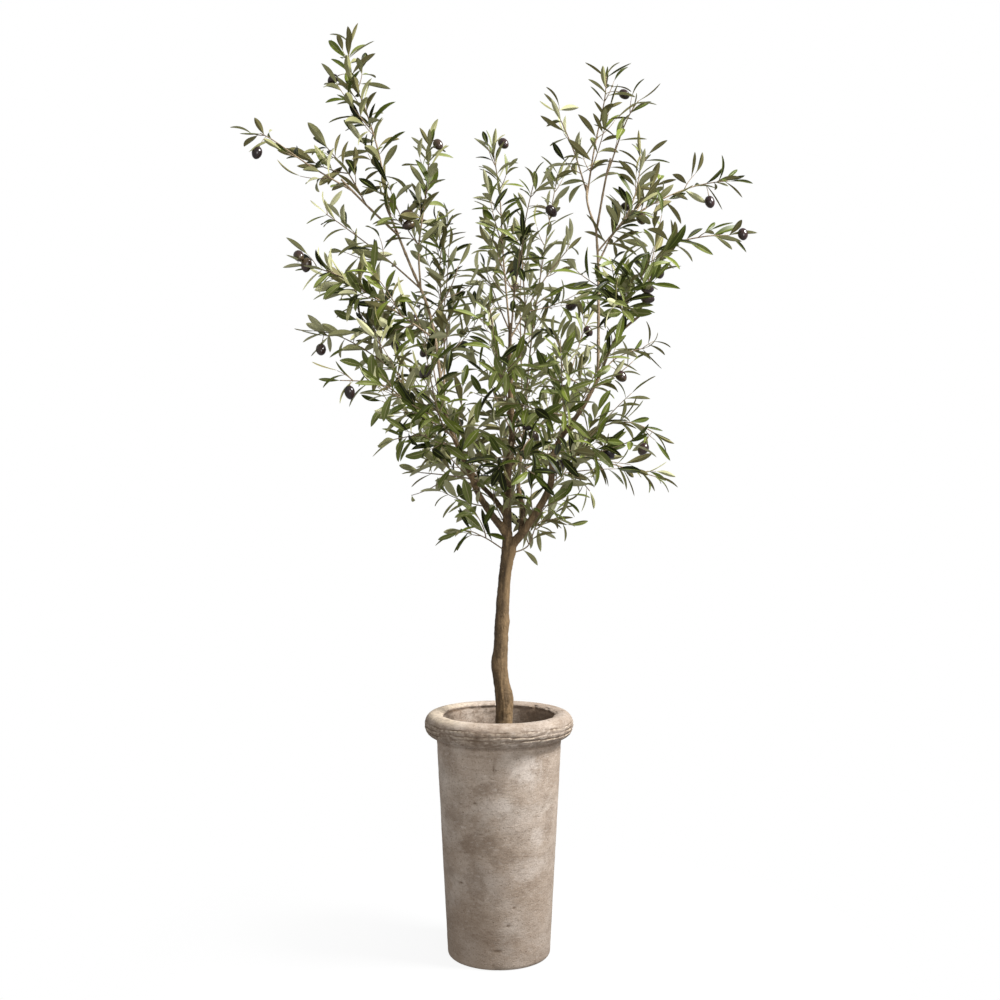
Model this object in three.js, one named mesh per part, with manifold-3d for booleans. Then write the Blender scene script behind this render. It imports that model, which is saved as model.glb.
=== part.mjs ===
// A potted artificial olive tree, 2.13 m tall, built as the real thing is: a clay pot with a rolled rim,
// its fill, a leaning trunk, five limbs, the long bare stems and the leafy sprays that they carry.
// Millimetres, +Z up, +X to the tree's right and -Y to its front. The origin is the middle of the pot's
// underside. Every limb, stem and spray starts on the piece that carries it, at a share of that piece's
// length, and runs through a few places to its tip. Each later piece is cut clear of the earlier ones.

import * as THREE from "three";
import { mergeVertices } from "three/addons/utils/BufferGeometryUtils.js";
import Module from "manifold-3d";

const wasm = await Module();
wasm.setup();

// ---------- driving dimensions ----------

const CLEARANCE = 0.3; // between touching pieces
const CUTTER_GROWTH = 0.36; // how much a cutter stands proud, so that its flat facets still clear

const POT = {
  baseRadius: 116.5,
  arris: 10, // round of the bottom edge
  neckRadius: 141.5, // just under the rolled rim
  neckHeight: 487,
  coveDepth: 3, // of the groove under the roll
  coveBottom: 493,
  coveTop: 500,
  rollRadius: 169, // outermost
  rollHalfWidth: 21.5,
  rollBottom: 497,
  rollEnd: 1.75, // radians round from its outer side, where the round gives way to the flat lip
  height: 550,
  mouthRadius: 127, // at the sharp inner edge of the lip
  lipHeight: 544,
  wallTop: 122, // inner radius just under the rim
  wallFoot: 95, // inner radius at the floor
  floor: 30,
  sides: 32,
};

const ROLL_STEPS = 8;
const ARRIS_STEPS = 2;
const FILL_TOP = 465;

const TRUNK = {
  // axis from the fill up to the fork
  axis: [
    [10, 0, 0],
    [11, 0, 110],
    [3, 0, 175],
    [5, 0, 260],
    [11, 0, 370],
    [21, 0, 465],
  ],
  footRadius: 20,
  forkRadius: 12.5,
  flare: 3, // extra radius at the foot
  flareHeight: 25,
  // low swellings: height above the fill, side they face in radians, size, half length
  knots: [
    { height: 195, facing: Math.PI, size: 4, reach: 22 },
    { height: 290, facing: 0, size: 3, reach: 20 },
    { height: 115, facing: 0.4, size: 3.5, reach: 24 },
    { height: 455, facing: 0, size: 6, reach: 30 },
  ],
  sides: 10,
  rings: 15,
};

// Limbs and bare stems: the carrier, the share of its length at the foot, the places passed on the way to
// the tip, and the radius at foot and tip.
const LIMBS = {
  limb_leader: { on: "trunk", at: 0.97, radii: [11, 3.6],
    through: [[20, 0, 1085], [30, -5, 1190], [25, -10, 1295], [25, -20, 1435]] },
  limb_right: { on: "trunk", at: 0.975, radii: [9.8, 3.8],
    through: [[65, -10, 975], [115, -30, 1065], [125, -40, 1145], [190, -40, 1245], [230, -30, 1320]] },
  limb_back: { on: "limb_right", at: 0.1, radii: [6.5, 3.6],
    through: [[55, 30, 1010], [45, 70, 1065], [60, 160, 1185]] },
  limb_left_lower: { on: "limb_leader", at: 0.07, radii: [8.6, 3.8],
    through: [[-40, -20, 1035], [-70, -45, 1105], [-115, -60, 1210], [-125, -60, 1260]] },
  limb_left_upper: { on: "limb_leader", at: 0.15, radii: [6.5, 3.2],
    through: [[-15, 20, 1040], [-40, 45, 1065], [-95, 150, 1150]] },
  stem_left_tall: { on: "limb_left_lower", at: 0.97, radii: [3.6, 2.6],
    through: [[-155, -45, 1450], [-205, -25, 1575], [-260, 0, 1710]] },
  stem_far_left: { on: "stem_left_tall", at: 0.83, radii: [2.6, 2.2],
    through: [[-305, -30, 1705], [-355, -45, 1755]] },
  stem_right_tall: { on: "limb_right", at: 0.97, radii: [3.6, 2.6],
    through: [[225, -25, 1420], [225, -15, 1570], [220, -10, 1660]] },
  stem_right_out: { on: "limb_right", at: 0.98, radii: [3.4, 2.6],
    through: [[260, -110, 1395], [305, -190, 1435]] },
  stem_top_right_left: { on: "stem_right_tall", at: 0.97, radii: [2.6, 2.2],
    through: [[203, 10, 1710], [200, 10, 1755]] },
  stem_top_right_right: { on: "stem_right_tall", at: 0.95, radii: [2.6, 2.2],
    through: [[240, -40, 1755], [250, -55, 1800]] },
};

// Leafy sprays, given in the same way, with the half width of the spray in place of the radii.
const SPRAYS = {
  top_left: { on: "stem_left_tall", at: 0.93, girth: 47,
    through: [[-275, 10, 1825], [-305, 10, 1925], [-343, 0, 2030], [-320, -10, 2129]] },
  far_left_high: { on: "stem_far_left", at: 0.8, girth: 38,
    through: [[-420, -60, 1780], [-530, -75, 1850], [-590, -80, 1862]] },
  far_left_branchlet: { on: "stem_far_left", at: 0.55, girth: 30,
    through: [[-345, -10, 1780], [-390, 10, 1835], [-430, 20, 1885]] },
  far_left_middle: { on: "stem_left_tall", at: 0.55, girth: 38,
    through: [[-245, 20, 1575], [-310, 60, 1630], [-395, 90, 1695], [-455, 110, 1735]] },
  far_left_low: { on: "stem_left_tall", at: 0.3, girth: 44,
    through: [[-210, -80, 1440], [-350, -130, 1525], [-470, -155, 1560]] },
  left_edge: { on: "limb_left_lower", at: 0.85, girth: 42,
    through: [[-230, -20, 1320], [-380, 50, 1415], [-490, 70, 1430]] },
  left_edge_upper: { on: "left_edge", at: 0.45, girth: 30,
    through: [[-290, 40, 1430], [-350, 60, 1470]] },
  left_low: { on: "limb_left_lower", at: 0.75, girth: 50,
    through: [[-180, -100, 1230], [-250, -140, 1285], [-400, -190, 1295]] },
  left_skirt: { on: "limb_left_lower", at: 0.6, girth: 46,
    through: [[-150, -150, 1175], [-270, -260, 1155]] },
  left_under: { on: "limb_left_lower", at: 0.45, girth: 34,
    through: [[-125, 20, 1090], [-235, 80, 1100]] },
  low_left: { on: "trunk", at: 0.965, girth: 30,
    through: [[-35, -30, 950], [-80, -60, 965], [-135, -80, 925]] },
  upper_left: { on: "stem_left_tall", at: 0.55, girth: 42,
    through: [[-180, -50, 1600], [-165, -60, 1710], [-150, -50, 1880]] },
  inner_left: { on: "limb_left_lower", at: 0.97, girth: 44,
    through: [[-125, 0, 1395], [-135, 20, 1585], [-105, 40, 1725]] },
  top_centre: { on: "limb_leader", at: 0.95, girth: 50,
    through: [[10, -20, 1580], [0, -30, 1735], [-25, -30, 1885]] },
  centre_slim: { on: "limb_leader", at: 0.72, girth: 36,
    through: [[60, 40, 1425], [55, 60, 1635], [95, 60, 1830]] },
  top_back_right: { on: "limb_back", at: 0.95, girth: 42,
    through: [[75, 150, 1390], [110, 140, 1635], [150, 130, 1865]] },
  inner_right: { on: "limb_leader", at: 0.93, girth: 38,
    through: [[105, 20, 1540], [195, 50, 1655]] },
  top_right_left: { on: "stem_top_right_left", at: 0.75, girth: 42,
    through: [[220, 20, 1845], [245, 25, 1970], [245, 25, 2068]] },
  top_right_twig: { on: "stem_top_right_left", at: 0.85, girth: 32,
    through: [[170, 50, 1850], [130, 80, 1945], [95, 90, 1985]] },
  top_right_right: { on: "stem_top_right_right", at: 0.75, girth: 36,
    through: [[295, -80, 1900], [350, -90, 1965]] },
  far_right_high: { on: "stem_right_tall", at: 0.75, girth: 42,
    through: [[280, 40, 1665], [445, 100, 1765], [600, 120, 1795]] },
  right_upright: { on: "stem_right_tall", at: 0.82, girth: 34,
    through: [[295, 0, 1690], [320, 10, 1770], [325, 20, 1880]] },
  far_right_middle: { on: "stem_right_out", at: 0.93, girth: 38,
    through: [[355, -210, 1570], [430, -220, 1595], [545, -230, 1595]] },
  right_near: { on: "stem_right_out", at: 0.7, girth: 52,
    through: [[265, -230, 1460], [205, -365, 1510]] },
  right_middle: { on: "limb_right", at: 0.96, girth: 42,
    through: [[265, 10, 1355], [325, 30, 1380], [395, 40, 1385]] },
  right_low: { on: "limb_right", at: 0.45, girth: 44,
    through: [[170, -70, 1135], [225, -100, 1195], [290, -120, 1205], [390, -140, 1150]] },
  right_low_outer: { on: "limb_right", at: 0.55, girth: 36,
    through: [[210, 40, 1130], [300, 80, 1105], [425, 110, 1070]] },
  right_under: { on: "limb_right", at: 0.4, girth: 30,
    through: [[160, -10, 1095], [240, 10, 1015]] },
  low_right: { on: "trunk", at: 0.955, girth: 30,
    through: [[65, 30, 925], [95, 60, 980], [195, 90, 985]] },
  front_left: { on: "limb_left_lower", at: 0.72, girth: 54,
    through: [[-125, -200, 1210], [-155, -430, 1390]] },
  front_centre: { on: "limb_leader", at: 0.62, girth: 54,
    through: [[5, -180, 1295], [-25, -430, 1460]] },
  front_right: { on: "limb_right", at: 0.72, girth: 54,
    through: [[140, -180, 1230], [120, -440, 1360]] },
  front_low: { on: "limb_leader", at: 0.48, girth: 42,
    through: [[25, -120, 1140], [55, -235, 1105], [95, -340, 1080]] },
  front_high: { on: "limb_leader", at: 0.9, girth: 50,
    through: [[35, -150, 1495], [55, -380, 1595]] },
  back_left: { on: "limb_left_upper", at: 0.95, girth: 54,
    through: [[-145, 250, 1275], [-185, 380, 1435], [-245, 470, 1570]] },
  back_centre: { on: "limb_back", at: 0.93, girth: 54,
    through: [[15, 280, 1325], [-35, 490, 1585]] },
  back_right: { on: "limb_back", at: 0.85, girth: 54,
    through: [[150, 250, 1275], [205, 380, 1420], [250, 470, 1545]] },
  back_low_left: { on: "limb_left_upper", at: 0.7, girth: 42,
    through: [[-120, 250, 1155], [-175, 430, 1185]] },
  back_low_right: { on: "limb_back", at: 0.6, girth: 44,
    through: [[140, 260, 1150], [225, 440, 1180]] },
  back_high: { on: "limb_back", at: 0.97, girth: 50,
    through: [[55, 260, 1375], [55, 330, 1580], [75, 380, 1740]] },
  core_left: { on: "stem_left_tall", at: 0.12, girth: 60,
    through: [[-120, 20, 1375], [-130, 100, 1520]] },
  core_centre: { on: "limb_leader", at: 0.52, girth: 56,
    through: [[-15, 60, 1290], [-45, 110, 1400]] },
  core_right: { on: "limb_right", at: 0.9, girth: 60,
    through: [[150, 30, 1330], [145, 90, 1460]] },
  core_upper_left: { on: "stem_left_tall", at: 0.4, girth: 52,
    through: [[-110, -60, 1505], [-75, -70, 1610]] },
  core_upper: { on: "limb_leader", at: 0.96, girth: 54,
    through: [[-5, 60, 1495], [-45, 110, 1610]] },
};

const LIMB_SIDES = 7;
const LIMB_RINGS = 7;
const STEM_SIDES = 5;
const STEM_RINGS = 5;

const SPRAY = {
  sides: 6,
  rings: 7,
  turningSteps: 28, // places along a spray at which its turning is worked out
  footFullness: 1.2, // radius over the stated half width
  tipFullness: 0.75,
  // bulges: size over the half width, waves along in radians, count round, shift from spray to spray, start
  tufts: { size: 0.2, along: 19, round: 2, shift: 1, start: 0 },
  leaves: { size: 0.13, along: -27, round: 3, shift: 2, start: Math.PI / 2 },
};

// ---------- looks ----------

const clay = new THREE.MeshStandardMaterial({ color: 0xaa9b8c, roughness: 0.92, metalness: 0 });
const earth = new THREE.MeshStandardMaterial({ color: 0x4a3c30, roughness: 1, metalness: 0 });
const bark = new THREE.MeshStandardMaterial({ color: 0x7a6044, roughness: 0.85, metalness: 0 });
const leaf = new THREE.MeshStandardMaterial({ color: 0x55643c, roughness: 0.55, metalness: 0 });

// ---------- making solids ----------

// A closed geometry as a solid.
function solidFrom(geometry) {
  geometry.deleteAttribute("normal");
  geometry.deleteAttribute("uv");
  const merged = mergeVertices(geometry, 1e-3);
  const vertProperties = new Float32Array(merged.attributes.position.array);
  const triVerts = new Uint32Array(merged.index.array);
  return new wasm.Manifold(new wasm.Mesh({ numProp: 3, vertProperties, triVerts }));
}

// A solid as a geometry, with its largest body only: what a cut leaves loose falls away.
function geometryFrom(solid) {
  const bodies = solid.decompose().sort((a, b) => b.volume() - a.volume());
  const mesh = bodies[0].getMesh();
  const geometry = new THREE.BufferGeometry();
  geometry.setAttribute("position", new THREE.BufferAttribute(mesh.vertProperties, 3));
  geometry.setIndex(new THREE.BufferAttribute(mesh.triVerts, 1));
  geometry.computeVertexNormals();
  return geometry;
}

function curveThrough(points) {
  const places = points.map((p) => new THREE.Vector3(...p));
  return new THREE.CatmullRomCurve3(places, false, "centripetal");
}

// Bends a unit shape, which stands along Y from -1 to 1, so that it follows a curve from its start to its
// end. radiusAt(share, angle) is the shape's radius there.
function bend(shape, curve, steps, radiusAt) {
  const frames = curve.computeFrenetFrames(steps, false);
  const position = shape.getAttribute("position");
  for (let i = 0; i < position.count; i++) {
    const [x, y, z] = [position.getX(i), position.getY(i), position.getZ(i)];
    const share = (y + 1) / 2;
    const k = Math.round(share * steps);
    const radius = radiusAt(share, Math.atan2(z, x));
    const place = curve.getPointAt(share);
    place.addScaledVector(frames.normals[k], x * radius);
    place.addScaledVector(frames.binormals[k], -z * radius);
    position.setXYZ(i, place.x, place.y, place.z);
  }
  return shape;
}

// A tapering limb with flat ends. Its cutter is the same limb, grown.
function limbSolid(curve, sides, rings, radiusAt, growth) {
  const rod = new THREE.CylinderGeometry(1, 1, 2, sides, rings);
  return solidFrom(bend(rod, curve, rings, (s, a) => radiusAt(s, a) + growth));
}

// A leafy spray: fullest below its middle, uneven all round, and drawn out to a point at its tip.
function sprayRadius(girth, seed) {
  return (share, angle) => {
    const fullness = THREE.MathUtils.lerp(SPRAY.footFullness, SPRAY.tipFullness, share);
    const bulge = ({ size, along, round, shift, start }) => (
      size * Math.sin(along * share + round * angle + shift * seed + start)
    );
    return girth * fullness * (1 + bulge(SPRAY.tufts) + bulge(SPRAY.leaves));
  };
}

function spraySolid(curve, girth, seed, growth) {
  const drop = new THREE.SphereGeometry(1, SPRAY.sides, SPRAY.rings);
  const radius = sprayRadius(girth, seed);
  return solidFrom(bend(drop, curve, SPRAY.turningSteps, (s, a) => radius(s, a) + growth));
}

// ---------- pot and fill ----------

// Points on a circle in the profile's plane, from one angle to another.
function arc(centre, radius, from, to, steps) {
  return Array.from({ length: steps + 1 }, (_, i) => {
    const a = from + ((to - from) * i) / steps;
    return new THREE.Vector2(centre[0] + radius * Math.cos(a), centre[1] + radius * Math.sin(a));
  });
}

function turned(profile, sides) {
  const geometry = new THREE.LatheGeometry(profile, sides);
  return geometry.rotateX(Math.PI / 2);
}

function potGeometry() {
  const p = POT;
  const half = Math.PI / 2;
  const lean = Math.atan2(p.neckRadius - p.baseRadius, p.neckHeight - p.arris);
  const rollHeight = p.height - p.rollBottom;
  const rollCentre = [p.rollRadius - p.rollHalfWidth, p.rollBottom + rollHeight / 2];
  const roll = arc([0, 0], 1, -half, p.rollEnd, ROLL_STEPS).map(
    (v) => new THREE.Vector2(
      rollCentre[0] + v.x * p.rollHalfWidth,
      rollCentre[1] + (v.y * rollHeight) / 2,
    ),
  );
  const profile = [
    new THREE.Vector2(0, 0),
    ...arc([p.baseRadius - p.arris, p.arris], p.arris, -half, -lean, ARRIS_STEPS),
    new THREE.Vector2(p.neckRadius, p.neckHeight),
    new THREE.Vector2(p.neckRadius - p.coveDepth, p.coveBottom),
    new THREE.Vector2(p.neckRadius - p.coveDepth, p.coveTop),
    ...roll,
    new THREE.Vector2(p.mouthRadius, p.lipHeight),
    new THREE.Vector2(p.wallTop, p.rollBottom),
    new THREE.Vector2(p.wallFoot, p.floor),
    new THREE.Vector2(0, p.floor),
  ];
  return turned(profile, p.sides);
}

// The fill stands off the pot's inner wall by the clearance.
function fillGeometry() {
  const p = POT;
  const slope = (p.wallTop - p.wallFoot) / (p.rollBottom - p.floor);
  const inside = (height) => p.wallFoot + slope * (height - p.floor) - CLEARANCE;
  const foot = p.floor + CLEARANCE;
  const profile = [
    new THREE.Vector2(0, foot),
    new THREE.Vector2(inside(foot), foot),
    new THREE.Vector2(inside(FILL_TOP), FILL_TOP),
    new THREE.Vector2(0, FILL_TOP),
  ];
  return turned(profile, p.sides);
}

// ---------- tree ----------

const curves = {
  trunk: curveThrough(TRUNK.axis.map(([x, y, rise]) => [x, y, FILL_TOP + CLEARANCE + rise])),
};

function trunkRadius(share, angle) {
  const rise = share * TRUNK.axis.at(-1)[2];
  const taper = THREE.MathUtils.lerp(TRUNK.footRadius, TRUNK.forkRadius, share);
  const flare = TRUNK.flare * Math.exp(-rise / TRUNK.flareHeight);
  const swelling = TRUNK.knots.reduce((sum, knot) => {
    const along = Math.exp(-(((rise - knot.height) / knot.reach) ** 2));
    const around = 0.5 + 0.5 * Math.cos(angle - knot.facing);
    return sum + knot.size * along * around;
  }, 0);
  return taper + flare + swelling;
}

const group = new THREE.Group();
const cutters = [];

function add(name, geometry, material) {
  const mesh = new THREE.Mesh(geometry, material);
  mesh.name = name;
  group.add(mesh);
}

// Cuts a solid clear of every earlier one, then adds it and keeps its cutter.
function addCut(name, make, material) {
  let solid = make(0);
  for (const cutter of cutters) solid = solid.subtract(cutter);
  add(name, geometryFrom(solid), material);
  cutters.push(make(CUTTER_GROWTH));
}

function route(piece) {
  const foot = curves[piece.on].getPointAt(piece.at);
  return curveThrough([foot.toArray(), ...piece.through]);
}

add("pot", potGeometry(), clay);
add("fill", fillGeometry(), earth);

addCut("trunk", (growth) => limbSolid(curves.trunk, TRUNK.sides, TRUNK.rings, trunkRadius, growth), bark);

for (const [name, limb] of Object.entries(LIMBS)) {
  curves[name] = route(limb);
  const [foot, tip] = limb.radii;
  const stem = name.startsWith("stem");
  const sides = stem ? STEM_SIDES : LIMB_SIDES;
  const rings = stem ? STEM_RINGS : LIMB_RINGS;
  const radiusAt = (share) => THREE.MathUtils.lerp(foot, tip, share);
  addCut(name, (growth) => limbSolid(curves[name], sides, rings, radiusAt, growth), bark);
}

Object.entries(SPRAYS).forEach(([name, spray], seed) => {
  curves[name] = route(spray);
  addCut(name, (growth) => spraySolid(curves[name], spray.girth, seed, growth), leaf);
});

export default group;
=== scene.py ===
"""The looks of a potted artificial olive tree, 2.13 m tall.

Metres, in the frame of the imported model: +Z up, +X to the tree's right, -Y to its front. The trunk, limbs and
sprays follow the routes of the CAD solids. On each spray's route a seeded branching rule grows its stem, side
twigs and leaves in opposite pairs. Bark, pot and fill are fine meshes in place of the plain solids.
"""

import math

import bpy
import numpy as np
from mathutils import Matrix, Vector, noise


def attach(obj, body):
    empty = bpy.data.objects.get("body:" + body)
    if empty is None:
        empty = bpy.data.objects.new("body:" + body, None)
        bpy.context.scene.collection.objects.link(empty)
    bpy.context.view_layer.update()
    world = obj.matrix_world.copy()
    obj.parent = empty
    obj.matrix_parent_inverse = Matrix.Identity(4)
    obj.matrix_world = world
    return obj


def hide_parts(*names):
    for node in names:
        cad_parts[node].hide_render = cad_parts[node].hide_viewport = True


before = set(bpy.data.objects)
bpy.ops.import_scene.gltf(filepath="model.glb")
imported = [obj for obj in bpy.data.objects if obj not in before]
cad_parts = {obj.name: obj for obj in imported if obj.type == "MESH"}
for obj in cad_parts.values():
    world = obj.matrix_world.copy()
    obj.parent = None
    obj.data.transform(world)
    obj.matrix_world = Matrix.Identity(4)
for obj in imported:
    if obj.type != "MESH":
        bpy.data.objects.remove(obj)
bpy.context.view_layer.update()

rng = np.random.default_rng(20)


def reseed(number, seed):
    """Starts the random numbers afresh, so that no spray's growth depends on another's."""
    global rng
    rng = np.random.default_rng([20, number, seed])


# ---------- driving sizes ----------

POT_BASE_RADIUS = 0.1165
POT_ARRIS = 0.01
POT_NECK_RADIUS = 0.1415
POT_NECK_HEIGHT = 0.487
COVE_DEPTH = 0.003
COVE_BOTTOM = 0.493
COVE_TOP = 0.5
ROLL_RADIUS = 0.169
ROLL_HALF_WIDTH = 0.0215
ROLL_BOTTOM = 0.497
ROLL_START = 0.12 - math.pi / 2  # radians round from its outer side
ROLL_END = 1.75  # where the round gives way to the flat lip
POT_HEIGHT = 0.55
MOUTH_RADIUS = 0.127
LIP_HEIGHT = 0.544
WALL_TOP_RADIUS = 0.122
WALL_FOOT_RADIUS = 0.095
POT_FLOOR = 0.03
FILL_TOP = 0.465

TRUNK_FOOT_RADIUS = 0.02
TRUNK_FORK_RADIUS = 0.0125
TRUNK_FLARE = 0.003
TRUNK_FLARE_HEIGHT = 0.025
TRUNK_AXIS = [(10, 0, 465), (11, 0, 575), (3, 0, 640), (5, 0, 725), (11, 0, 835), (21, 0, 930)]
# Swellings on the trunk: height above the fill, side they face in radians, size, half length.
TRUNK_KNOTS = [(0.195, math.pi, 0.0036, 0.016), (0.29, 0.0, 0.0026, 0.014), (0.115, 0.4, 0.0035, 0.024),
               (0.455, 0.0, 0.006, 0.03)]

PER_METRE = 1000  # all places are tabled in millimetres
# Limbs and bare stems: carrier, share of its length at the foot, radius at foot and tip, places on the way.
LIMBS = {
    "limb_leader": ("trunk", 0.97, (0.011, 0.0036),
        (20, 0, 1085), (30, -5, 1190), (25, -10, 1295), (25, -20, 1435)),
    "limb_right": ("trunk", 0.975, (0.0098, 0.0038),
        (65, -10, 975), (115, -30, 1065), (125, -40, 1145), (190, -40, 1245), (230, -30, 1320)),
    "limb_back": ("limb_right", 0.1, (0.0065, 0.0036), (55, 30, 1010), (45, 70, 1065), (60, 160, 1185)),
    "limb_left_lower": ("limb_leader", 0.07, (0.0086, 0.0038),
        (-40, -20, 1035), (-70, -45, 1105), (-115, -60, 1210), (-125, -60, 1260)),
    "limb_left_upper": ("limb_leader", 0.15, (0.0065, 0.0032),
        (-15, 20, 1040), (-40, 45, 1065), (-95, 150, 1150)),
}
STEMS = {
    "stem_left_tall": ("limb_left_lower", 0.97, (0.0036, 0.0026),
        (-155, -45, 1450), (-205, -25, 1575), (-260, 0, 1710)),
    "stem_far_left": ("stem_left_tall", 0.83, (0.0026, 0.0022), (-305, -30, 1705), (-355, -45, 1755)),
    "stem_right_tall": ("limb_right", 0.97, (0.0036, 0.0026),
        (225, -25, 1420), (225, -15, 1570), (220, -10, 1660)),
    "stem_right_out": ("limb_right", 0.98, (0.0034, 0.0026), (260, -110, 1395), (305, -190, 1435)),
    "stem_top_right_left": ("stem_right_tall", 0.97, (0.0026, 0.0022), (203, 10, 1710), (200, 10, 1755)),
    "stem_top_right_right": ("stem_right_tall", 0.95, (0.0026, 0.0022), (240, -40, 1755), (250, -55, 1800)),
}

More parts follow.
